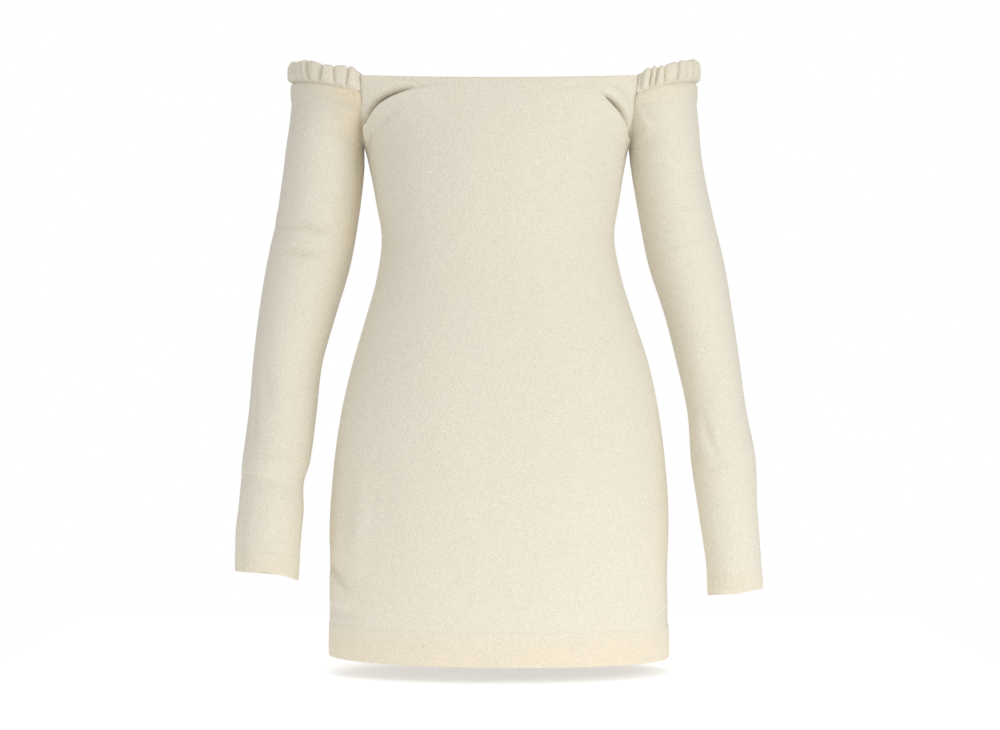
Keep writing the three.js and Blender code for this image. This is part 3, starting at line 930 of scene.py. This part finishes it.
@dataclass
class ShoulderBand(ClothPiece):
    """The gathered casing with elastic in it, along the top edge of one sleeve.

    puffs holds the height and thickness of the cloth between each two gathers, as shares of the
    band's own. There is one more of them than there are gathers. valley and slit are the depth, as
    a share, and the width of the soft hollow at a gather and of the sharp crease in it. The
    section's foot is tucked inwards onto the sleeve's edge.
    """

    form: SleeveForm
    height: float
    gathers: tuple[Gather, ...]
    puffs: tuple[tuple[float, float], ...]
    thickness: float = 10.152
    end_height: float = 19.0
    end_thickness: float = 3.6
    end_fade: float = 0.045
    end_depth: float = 0.35
    valley: tuple[float, float] = (0.55, 2.0)
    slit: tuple[float, float] = (0.85, 0.85)
    gather_drop: float = 0.13
    foot_tuck: float = 1.3
    foot_height: float = 0.2
    round_share: float = 0.4
    round_power: float = 0.6
    skewness: float = 0.35
    swings_in: tuple[float, float] = (0.45, 0.9)
    swings_back: tuple[float, float] = (0.1, 0.55)
    foot_inset: float = 0.8
    end_gap: float = 0.1
    end_pinch: tuple[float, float] = (1.8, 1.6)
    squareness: float = 0.8
    cloth: tuple[float, float] = (0.8, 0.9)

    def shell(self) -> bpy.types.Object:
        """Models the mesh of the band.

        Returns:
            The mesh.
        """
        stations, section = 440, 44
        piece, column, row = add_grid(self.name, stations, section)
        share, angle = column / stations, 2 * math.pi * row / section
        lay(piece, self.points(share, angle))
        mark_cloth(piece, np.full(len(share), 0.3), np.zeros(len(share)))
        merge_doubles(piece, face_outwards=True, close_ends=True)
        give_thickness(piece, *self.cloth)
        return piece

    def spine(self) -> tuple[Array, Array, Array]:
        """The line that the band stands on, at the sleeve's top edge.

        Returns:
            Its distances from the front end, its points and its directions.
        """
        around = np.linspace(0, 1, 400)
        top = np.full(400, -self.form.head_corner)
        normal, _ = self.form.normals(around, top)
        foot = self.form.point(around, top) - self.foot_inset * normal
        lengths = np.concatenate([[0], np.cumsum(np.linalg.norm(np.diff(foot, axis=0), axis=1))])
        return lengths, foot, np.gradient(foot, lengths, axis=0)

    def points(self, share: Array, angle: Array) -> Array:
        """Points on the band.

        Args:
            share: From 0 at the front end to 1 at the back one.
            angle: Round the section, from 0 on its inner side.

        Returns:
            The points, one in each row.
        """
        lengths, feet, runs = self.spine()
        along = share * lengths[-1]
        foot = np.column_stack([np.interp(along, lengths, feet[:, k]) for k in range(3)])
        run = np.column_stack([np.interp(along, lengths, runs[:, k]) for k in range(3)])
        loose = smoothstep(np.minimum(share, 1 - share), 0, self.end_fade)
        aside = np.column_stack([run[:, 1], -run[:, 0], np.zeros(len(share))])
        aside *= -1.0 if self.form.side is Side.RIGHT else 1.0
        aside /= np.linalg.norm(aside, axis=1, keepdims=True)
        along_armhole = np.column_stack([np.zeros(len(share)), np.sign(aside[:, 1]), np.zeros(len(share))])
        aside = loose[:, None] * aside + (1 - loose[:, None]) * along_armhole
        aside /= np.linalg.norm(aside, axis=1, keepdims=True)
        up_share = (1 + signed_power(np.sin(angle), self.squareness)) / 2
        puff, tall, thick, sway = self.puffing(along, up_share, lengths[-1])
        full_height = self.height * tall * (1 - self.gather_drop * (1 - puff))
        height = self.end_height + loose * (full_height - self.end_height)
        thickness = self.end_thickness + loose * (self.thickness * thick * puff - self.end_thickness)
        caught = smoothstep(up_share, -0.06, self.foot_height)
        inward = thickness / 2 * caught * signed_power(np.cos(angle), self.squareness)
        inward += loose * caught * sway
        inward += self.foot_tuck * loose * (1 - smoothstep(up_share, 0.0, self.foot_height))
        points = foot + aside * inward[:, None]
        points[:, 2] = foot[:, 2] + SEAM_GAP + height * up_share
        is_left = np.full(len(share), self.form.side is Side.LEFT)
        shift = self.form.body.edge(is_left, points[:, 2]) - self.form.body.edge(is_left, foot[:, 2])
        points[:, 0] += self.form.side.value * shift
        at_armhole = self.form.side.value * (self.form.body.edge(is_left, points[:, 2]) + self.end_gap)
        points[:, 0] += (1 - smoothstep(loose, 0.0, 0.3)) * (at_armhole - points[:, 0])
        to_end = np.minimum(along, lengths[-1] - along)
        pinch, reach = self.end_pinch
        points[:, 1] -= pinch * np.sign(points[:, 1]) * bell(to_end, reach)
        return points

    def puffing(self, along: Array, up_share: Array, length: float) -> tuple[Array, Array, Array, Array]:
        """How the gathers shape the band.

        Args:
            along: The distance of each point from the front end.
            up_share: How far up the band each point is.
            length: The band's whole length.

        Returns:
            The fullness of the cloth between its gathers, the puffs' height and thickness, and
            how far the tucked cloth swings inwards before a gather and outwards after it.
        """
        lean = up_share[:, None] - 0.5
        marks = np.array([[g.along, g.lean, g.depth, g.tuck] for g in self.gathers])
        places = np.hstack([np.zeros((len(along), 1)), marks[:, 0] + lean * marks[:, 1],
                            np.full((len(along), 1), length)])
        depths = np.concatenate([[self.end_depth], marks[:, 2], [self.end_depth]])
        tucks = np.concatenate([[0.0], marks[:, 3], [0.0]])
        number = np.clip((along[:, None] >= places[:, 1:-1]).sum(axis=1), 0, len(marks))
        rows = np.arange(len(along))
        start, end = places[rows, number], places[rows, number + 1]
        t = np.clip((along - start) / np.maximum(end - start, 1e-6), 0.0, 1.0)
        depth = depths[number] + t * (depths[number + 1] - depths[number])
        before, after = tucks[number + 1], tucks[number]
        skew = t ** (1.0 + self.skewness * (before - after))
        near = np.maximum(np.minimum(along - start, end - along), 0.0)
        puff = 1 - self.round_share * (1 - (4 * skew * (1 - skew)) ** self.round_power)
        for share, width in (self.valley, self.slit):
            puff = puff * (1 - depth * share * bell(near, width))
        sway = before * smoothstep(t, *self.swings_in) - after * (1 - smoothstep(t, *self.swings_back))
        size = np.array(self.puffs)
        centres = (marks[:-1, 0] + marks[1:, 0]) / 2
        centres = np.concatenate([[marks[0, 0] / 2], centres, [(marks[-1, 0] + length) / 2]])
        tall = np.interp(along, centres, size[:, 0])
        thick = np.interp(along, centres, size[:, 1])
        return puff, tall, thick, sway


@dataclass(frozen=True)
class Lamp:
    """A soft panel of light that faces the dress, with its power in watts and its side in metres."""

    name: str
    place: tuple[float, float, float]
    power: float
    size: float = 0.8
    colour: tuple[float, float, float] = (1.0, 0.99, 0.97)
    faces: tuple[float, float, float] = (0.0, 0.0, -0.3)

    def build(self) -> None:
        """Adds the lamp."""
        clear_selection()
        bpy.ops.object.light_add(type="AREA", location=self.place)
        lamp = bpy.context.object
        lamp.name = self.name
        lamp.data.size, lamp.data.energy, lamp.data.color = self.size, self.power, self.colour
        direction = Vector(self.faces) - Vector(self.place)
        lamp.rotation_euler = direction.to_track_quat("-Z", "Y").to_euler()


@dataclass(frozen=True)
class Studio:
    """The plain floor, the soft lights and the camera at the photograph's angle.

    The surroundings' light is ambient from all sides, with more from the direction of slant.
    """

    floor_z: float = -0.634
    floor_size: float = 1.1
    floor_glow: float = 0.46
    camera_place: tuple[float, float, float] = (0.0016, -2.6, -0.304)
    lens: float = 86.667
    ambient: float = 0.49
    slant: tuple[float, float, float] = (-0.04, -0.48, 0.10)
    lamps: tuple[Lamp, ...] = (Lamp("key", (1.25, -1.15, 0.1), 7.4), Lamp("back", (-0.6, 1.8, 0.3), 8.0))

    def build(self) -> None:
        """Sets up the floor, the surroundings, the lights and the camera."""
        self.floor()
        self.surroundings()
        for lamp in self.lamps:
            lamp.build()
        self.camera()

    def floor(self) -> None:
        """Lays the floor."""
        clear_selection()
        bpy.ops.mesh.primitive_plane_add(size=self.floor_size, location=(0, 0, self.floor_z))
        floor = bpy.context.object
        floor.name = "floor"
        material = bpy.data.materials.new("pale_floor")
        material.use_nodes = True
        inputs = material.node_tree.nodes["Principled BSDF"].inputs
        inputs["Base Color"].default_value = (0.9, 0.9, 0.9, 1.0)
        inputs["Roughness"].default_value = 0.9
        inputs["Emission Color"].default_value = WHITE
        inputs["Emission Strength"].default_value = self.floor_glow
        floor.data.materials.append(material)

    def surroundings(self) -> None:
        """Makes the surroundings white to the camera and a soft light to the dress."""
        world = bpy.data.worlds.new("studio")
        bpy.context.scene.world = world
        world.use_nodes = True
        graph = Graph(world.node_tree)
        background = world.node_tree.nodes["Background"]
        background.inputs["Color"].default_value = WHITE
        place, path = graph.add("ShaderNodeTexCoord"), graph.add("ShaderNodeLightPath")
        slant = graph.add("ShaderNodeVectorMath", operation="DOT_PRODUCT")
        slant.inputs[1].default_value = self.slant
        glow = graph.add("ShaderNodeMath", operation="MAXIMUM")
        glow.inputs[1].default_value = 0.0
        base = graph.add("ShaderNodeMath", operation="ADD")
        base.inputs[1].default_value = self.ambient
        level = graph.add("ShaderNodeMapRange", To_Max=1.0)
        graph.link(place.outputs["Generated"], slant.inputs[0])
        graph.link(slant.outputs["Value"], glow.inputs[0])
        graph.link(glow.outputs["Value"], base.inputs[0])
        graph.link(base.outputs["Value"], level.inputs["To Min"])
        graph.link(path.outputs["Is Camera Ray"], level.inputs["Value"])
        graph.link(level.outputs["Result"], background.inputs["Strength"])
        bpy.context.scene.view_settings.view_transform = "Standard"

    def camera(self) -> None:
        """Places the camera, level and in front of the dress."""
        data = bpy.data.cameras.new("camera")
        data.lens, data.sensor_width = self.lens, 36.0
        camera = bpy.data.objects.new("camera", data)
        camera.location = self.camera_place
        camera.rotation_euler = (math.pi / 2, 0.0, 0.0)
        bpy.context.scene.collection.objects.link(camera)
        bpy.context.scene.camera = camera


def front_panel(body: BodyForm) -> BodyPanel:
    """The front, with the folds that run from the armholes up to the neckline."""
    creases = (
        Crease(((-143, -48, 5.6), (-137, -38.5, 10.0), (-128, -29.4, 11.6), (-115.5, -22.6, 10.4),
                (-102.7, -17.8, 7.4), (-87.9, -14.5, 3.8), (-71.2, -11.8, 1.6), (-58, -10, 0.0)), 4.6,
                1.15, 0.11, 1.3),
        Crease(((-143, -48, 1.0), (-137, -38.5, 2.4), (-128, -29.4, 3.4), (-115.5, -22.6, 3.0),
                (-102.7, -17.8, 2.0), (-87.9, -14.5, 0.0)), 1.0, 1.2),
        Crease(((-137, -62, 0.8), (-131.4, -56, 1.5), (-122.3, -47.8, 1.5), (-111.4, -41.4, 1.0),
                (-98.5, -36, 0.0)), 5.5, 2.0, 0.0, 4.0),
        Crease(((-141.4, -47.5, -1.0), (-142.6, -56.3, -1.8), (-141, -67, -0.8)), 2.0),
        Crease(((-138.0, -55, 0.6), (-136.9, -63, 2.8), (-139.4, -71, 2.4)), 1.2, 1.4),
        Crease(((-134, -1.6, 0.4), (-108, -6.4, 1.1), (-81.7, -9.0, 0.9), (-55, -7.6, 0.0)), 1.8, 2.0,
                0.0, 3.2),
        Crease(((140, -60, 3.6), (136.2, -48, 5.4), (129.6, -38, 9.0), (120.9, -29.6, 8.2),
                (112.3, -23, 3.6), (103.7, -17.6, 1.2), (94, -14.6, 0.0)), 1.2, 1.2, -0.12, 2.8),
        Crease(((136.2, -48, 1.2), (129.6, -38, 4.0), (120.9, -29.6, 4.2), (112.3, -23, 0.0)), 1.0,
                1.2),
        Crease(((139.5, -40, 0.8), (130.5, -22, 2.3), (116.5, -12.5, 2.2), (101, -7, 0.2)), 4.6, 2.0,
                0.2, 3.4),
        Crease(((104, -9.8, 1.5), (74.4, -12.8, 1.0), (43.1, -11.3, 0.0)), 3.4, 2.0, -0.3),
        Crease(((-184, -518, 2.0), (-175, -526, 4.2), (-166, -536, 3.8), (-158, -546, 0.0)), 12.0,
                1.5, 0.0, 2.2),
        Crease(((-182, -562, 1.8), (-164, -563, 2.6), (-140, -566, 0.0)), 2.6, 1.6, 0.0, 12.0),
        Crease(((-150, -410, 0.0), (-147, -460, -2.2), (-150, -520, -1.2)), 9.0),
        Crease(((-168, -420, 0.0), (-166, -470, 3.4), (-168, -520, 2.4)), 8.0),
        Crease(((181, -566, 1.6), (175, -570, 1.5), (164, -572, 0.0)), 2.2, 1.5, 0.3),
    )
    swells = (
        Swell((178, -574), (12, 9), -1.8),
        Swell((-60, -330), (34, 120), 1.0, 8),
        Swell((70, -400), (30, 130), 0.9, -6),
        Swell((10, -500), (60, 60), -0.8, 0),
        Swell((-120, -450), (22, 90), -0.9, 6),
        Swell((128, -500), (20, 80), -0.7, -4),
    )
    return BodyPanel(
        name="front_panel", node="dress_front", flat=(0.50, 0.62), area=0.262, held="hung",
        rests_on=("left_band", "right_band"), face=Face.FRONT, body=body,
        columns=spaced((-1, -0.5, 105), (-0.5, -0.36, 8), (-0.36, 0.36, 18), (0.36, 0.62, 14),
                       (0.62, 1, 84)),
        rows=spaced((-DRESS_LENGTH, -613, 3), (-613, -585, 8), (-585, -577, 5), (-577, -500, 34),
                    (-500, -100, 42), (-100, -70, 12), (-70, -8, 92), (-8, 0, 8)),
        creases=creases, swells=swells, seed=11)


def back_panel(body: BodyForm) -> BodyPanel:
    """The back, finished like the front, with softer folds at the armholes and the waist."""
    creases = (
        Crease(((143, -50, 1.8), (134, -40, 3.6), (122, -30, 3.8), (104, -21, 1.6), (80, -15, 0)),
                2.6, 1.5, 0.3),
        Crease(((-143, -48, 1.6), (-135, -37, 3.2), (-121, -26, 2.6), (-99, -18, 0)), 2.6, 1.5, -0.3),
        Crease(((-138, -64, 1.2), (-126, -53, 1.6), (-108, -46, 0)), 3.8),
        Crease(((137, -66, 1.2), (124, -57, 1.5), (104, -52, 0)), 3.8),
        Crease(((-96, -168, 0.3), (-50, -178, 1.6), (4, -177, 1.7), (52, -172, 0.0)), 6.5, 2.0, 0.3),
        Crease(((-60, -198, 0.0), (-8, -204, 1.3), (44, -201, 1.6), (92, -190, 0.2)), 7.0, 2.0, 0.3),
    )
    swells = (
        Swell((0, -150), (60, 20), 0.8),
        Swell((-80, -480), (26, 110), -0.9, 5),
        Swell((64, -500), (30, 100), -0.8, -5),
    )
    return BodyPanel(
        name="back_panel", node="dress_back", flat=(0.50, 0.62), area=0.262, held="hung",
        rests_on=("left_band", "right_band"), face=Face.BACK, body=body,
        columns=spaced((-1, -0.4, 56), (-0.4, 0.4, 34), (0.4, 1, 56)),
        rows=spaced((-DRESS_LENGTH, -613, 3), (-613, -585, 8), (-585, -577, 6), (-577, -240, 56),
                    (-240, -80, 44), (-80, -8, 44), (-8, 0, 8)),
        creases=creases, swells=swells, seed=23)


SLEEVE_COLUMNS = ("inner", "outer", "middle", "depth")
UNDERARM_CREASES = (
        Crease(((0.08, -92, 1.6), (0.05, -74, 0.6)), 4.0),
        Crease(((0.92, -98, 1.6), (0.95, -76, 0.6)), 4.0),
)


def left_sleeve_form(body: BodyForm) -> SleeveForm:
    """The form of the sleeve on the viewer's left."""
    rows = (
        (-17, 145, 222.8, -3.5, 71.5),
        (-30, 145, 222.9, -3, 66.5),
        (-43, 145, 224.3, -2, 61),
        (-56, 145, 226.7, -1, 56.5),
        (-69, 145, 229.4, 0, 52.5),
        (-95, 145.2, 232.7, 2, 50),
        (-147, 151.7, 240.4, 7, 48.5),
        (-199, 161.3, 251.8, 11, 47.5),
        (-251, 176.5, 259.7, 10, 45.5),
        (-303, 190.7, 265.5, 4, 42),
        (-355, 196.6, 269.1, -5, 39.5),
        (-407, 202.6, 274.4, -15, 37),
        (-428, 208.6, 275.6, -19, 35.5),
        (-458, 208.4, 277.8, -25, 34.5),
        (-484, 210.6, 280.4, -30, 33.5),
        (-526.5, 213, 280.4, -38, 33),
    )
    return SleeveForm(Side.LEFT, SectionTable(SLEEVE_COLUMNS, rows), 17.0, 15.0, body)


def right_sleeve_form(body: BodyForm) -> SleeveForm:
    """The form of the sleeve on the viewer's right."""
    rows = (
        (-18.5, 141, 213.2, -3.5, 71.2),
        (-30, 141, 213.3, -3, 66.5),
        (-43, 141, 214.5, -2, 61),
        (-56, 141, 216.3, -1, 56.5),
        (-69, 141, 217.9, 0, 52.5),
        (-95, 143.5, 221.9, 2, 50),
        (-147, 152.6, 232.7, 7, 48.5),
        (-199, 163.9, 245.4, 11, 46.5),
        (-251, 180.3, 253.6, 10, 44),
        (-303, 193.2, 260.8, 4, 40.5),
        (-355, 203.6, 267, -5, 37.5),
        (-407, 206.9, 276, -15, 35.5),
        (-458, 213.8, 276.8, -25, 33.5),
        (-510, 221, 279.6, -33, 32),
        (-545.5, 222.6, 281.6, -39, 31.5),
    )
    return SleeveForm(Side.RIGHT, SectionTable(SLEEVE_COLUMNS, rows), 18.5, 16.5, body)


def left_sleeve(form: SleeveForm) -> Sleeve:
    """The sleeve on the viewer's left, with its creases at the elbow and above the cuff."""
    creases = (
        Crease(((0.47, -156, 1.2), (0.30, -158, 4.2), (0.22, -162, 4.4), (0.13, -156, 1.0)), 2.4, 1.4,
                0.45, 4.6),
        Crease(((0.385, -455, 0.6), (0.39, -490, 1.8), (0.385, -530, 1.0)), 5.0),
        Crease(((0.41, -181, 1.0), (0.27, -187, 4.6), (0.16, -191, 1.2)), 2.4, 1.5, 0.45, 4.8),
        Crease(((0.43, -54, 0.8), (0.33, -56, 0.2)), 3.0),
        Crease(((0.40, -318, 0.3), (0.39, -350, 1.6), (0.36, -392, 0.3)), 3.2, 1.6, 0.3),
        Crease(((0.37, -296, 0.2), (0.33, -325, 1.5), (0.30, -356, 0.2)), 7.0),
        Crease(((0.34, -405, -0.6), (0.24, -407, -1.4), (0.15, -411, -0.3)), 5.0),
        Crease(((0.42, -424, 1.6), (0.30, -426, 3.0), (0.20, -428, 3.0), (0.08, -431, 0.8)), 7.5, 1.8,
                0.2),
        *UNDERARM_CREASES,
        Crease(((0.88, -152, 0.3), (0.76, -160, 2.0), (0.62, -157, 0.3)), 3.4, 1.7, 0.3),
        Crease(((0.86, -178, 0.3), (0.74, -184, 1.7), (0.60, -180, 0.3)), 3.8, 1.7, 0.3),
        Crease(((0.90, -422, 0.4), (0.74, -428, 2.0), (0.60, -424, 0.3)), 6.0),
        Crease(((0.03, -240, 0.6), (0.04, -300, 0.2)), 6.0),
    )
    return Sleeve(name="left_sleeve", node="sleeve_left", flat=(0.27, 0.53), area=0.132, held="hung",
                  rests_on=("left_band",), form=form, creases=creases,
                  swells=(Swell((80, -240), (26, 40), 0.7), Swell((50, -470), (18, 22), 0.8)),
                  droops=(Droop(0.03, 0.07, 3.0), Droop(0.24, 0.08, -1.8), Droop(0.6, 0.1, 1.0)), seed=31)


def right_sleeve(form: SleeveForm) -> Sleeve:
    """The sleeve on the viewer's right, with its creases at the elbow and the wrist."""
    creases = (
        Crease(((0.12, -66, 0.2), (0.20, -64.5, 0.8), (0.36, -62, 0.4)), 2.6),
        Crease(((0.14, -74, 0.2), (0.24, -73, 0.8), (0.36, -70, 0.3)), 2.6),
        Crease(((0.15, -139, 0.2), (0.20, -138, 1.6), (0.30, -135, 1.7), (0.44, -129, 0.4)), 3.0, 1.7,
                0.35),
        Crease(((0.15, -153, 0.2), (0.20, -152, 1.4), (0.30, -149, 1.4), (0.40, -143, 0.3)), 2.8, 1.7,
                0.35),
        Crease(((0.14, -162, 0.2), (0.19, -160.5, 1.2), (0.34, -152.5, 0.2)), 2.4, 1.7, 0.3),
        Crease(((0.12, -182, 0.2), (0.17, -179, 1.6), (0.27, -171.5, 1.5), (0.38, -163, 0.3)), 3.0,
                1.7, 0.35),
        Crease(((0.15, -358, 0.3), (0.17, -381, 2.4), (0.22, -408, 0.8)), 5.0, 1.7, 0.3),
        Crease(((0.15, -421, -0.3), (0.22, -418, -1.5), (0.30, -413, -0.3)), 5.0),
        Crease(((0.13, -526, 0.7), (0.135, -538, 0.2)), 1.2),
        Crease(((0.17, -525, 0.8), (0.172, -539, 0.2)), 1.2),
        Crease(((0.21, -525, 0.6), (0.208, -537, 0.2)), 1.2),
        *UNDERARM_CREASES,
        Crease(((0.88, -140, 0.3), (0.76, -148, 2.0), (0.62, -144, 0.3)), 3.4, 1.7, 0.3),
        Crease(((0.86, -166, 0.3), (0.74, -172, 1.7), (0.60, -167, 0.3)), 3.8, 1.7, 0.3),
        Crease(((0.88, -398, 0.4), (0.76, -406, 1.8), (0.62, -400, 0.3)), 6.0),
    )
    return Sleeve(name="right_sleeve", node="sleeve_right", flat=(0.27, 0.54), area=0.129, held="hung",
                  rests_on=("right_band",), form=form, creases=creases,
                  swells=(Swell((24, -313), (6, 6), -1.6), Swell((45, -478), (9, 12), -1.0),
                          Swell((80, -240), (26, 40), 0.7)),
                  droops=(Droop(0.24, 0.09, 1.6), Droop(0.5, 0.035, -4.0), Droop(0.8, 0.1, 1.2)),
                  seed=37, inner_painted_shade=0.2)


def left_band(form: SleeveForm) -> ShoulderBand:
    """The gathered band on the viewer's left."""
    gathers = (
        (15.6, -2.5, 0.80, 0.8), (28.4, 1.6, 0.60, -0.4), (43.2, -3.6, 0.88, -0.8),
        (60.5, 5.4, 0.95, 0.9), (71.0, 1.5, 0.6, 0.3), (82.0, 5.6, 0.86, -0.6),
        (92.5, 2.0, 0.7, 0.5), (104.5, -2.0, 0.85, -0.6), (118.5, 2.2, 0.75, 0.7),
        (132.0, -3.0, 0.9, -0.7), (147.5, 2.5, 0.7, 0.5), (160.0, -1.5, 0.92, 0.9),
        (174.5, 3.4, 0.72, -0.5), (188.0, -3.0, 0.88, 0.6), (203.5, 2.0, 0.65, -0.4),
        (216.0, -2.4, 0.9, 0.7), (230.0, 2.0, 0.75, -0.5),
    )
    puffs = (
        (1.10, 1.0), (1.03, 1.08), (0.95, 0.98), (1.02, 1.0), (1.08, 1.08), (1.0, 0.95), (0.96, 0.95),
        (1.02, 1.05), (0.97, 0.95), (1.05, 1.08), (0.96, 1.0), (1.06, 1.05), (0.95, 0.95), (1.05, 1.05),
        (0.96, 1.0), (1.03, 1.05), (0.95, 1.0), (1.04, 0.95),
    )
    return ShoulderBand(name="left_band", node="shoulder_band_left", flat=(0.30, 0.055), area=None,
                        held="gathered", rests_on=("left_sleeve",), form=form, height=22.5,
                        gathers=tuple(Gather(*row) for row in gathers), puffs=puffs)


def right_band(form: SleeveForm) -> ShoulderBand:
    """The gathered band on the viewer's right."""
    gathers = (
        (4.6, 2.2, 0.7, 0.3), (15.5, 1.4, 0.78, 0.6), (21.6, 2.8, 0.95, 0.7),
        (30.0, 1.4, 0.75, -0.6), (46.5, 3.4, 0.90, 0.7), (59.6, 4.0, 0.88, -0.6),
        (74.4, 6.0, 0.90, 0.7), (88.0, 3.0, 0.75, 0.4), (101.0, -2.0, 0.9, -0.7),
        (114.5, 2.4, 0.75, 0.6), (128.0, -3.0, 0.9, -0.6), (141.5, 2.0, 0.7, 0.5),
        (156.0, -2.6, 0.93, 0.8), (169.5, 3.0, 0.75, -0.5), (184.0, -2.0, 0.86, 0.6),
        (198.5, 2.6, 0.75, -0.5), (214.0, -2.4, 0.85, 0.6),
    )
    puffs = (
        (0.9, 0.8), (0.92, 0.95), (0.96, 0.9), (0.9, 1.0), (0.93, 1.05), (0.96, 1.05), (0.94, 1.0),
        (1.0, 1.08), (0.95, 0.95), (1.0, 1.05), (0.94, 1.0), (1.0, 1.08), (0.94, 0.95), (1.0, 1.05),
        (0.94, 1.0), (0.98, 1.05), (0.92, 1.0), (0.95, 0.9),
    )
    return ShoulderBand(name="right_band", node="shoulder_band_right", flat=(0.30, 0.06), area=None,
                        held="gathered", rests_on=("right_sleeve",), form=form, height=25.0,
                        gathers=tuple(Gather(*row) for row in gathers), puffs=puffs)


def main() -> None:
    """Builds the studio and the dress, piece by piece."""
    logging.basicConfig(level=logging.INFO, format="%(name)s %(message)s")
    Studio().build()
    crepe = CrepeFinish().material()
    body = BodyForm()
    left_form, right_form = left_sleeve_form(body), right_sleeve_form(body)
    pieces = (
        front_panel(body), back_panel(body), left_sleeve(left_form), right_sleeve(right_form),
        left_band(left_form), right_band(right_form))
    for piece in pieces:
        piece.build(crepe)


if __name__ == "__main__":
    main()
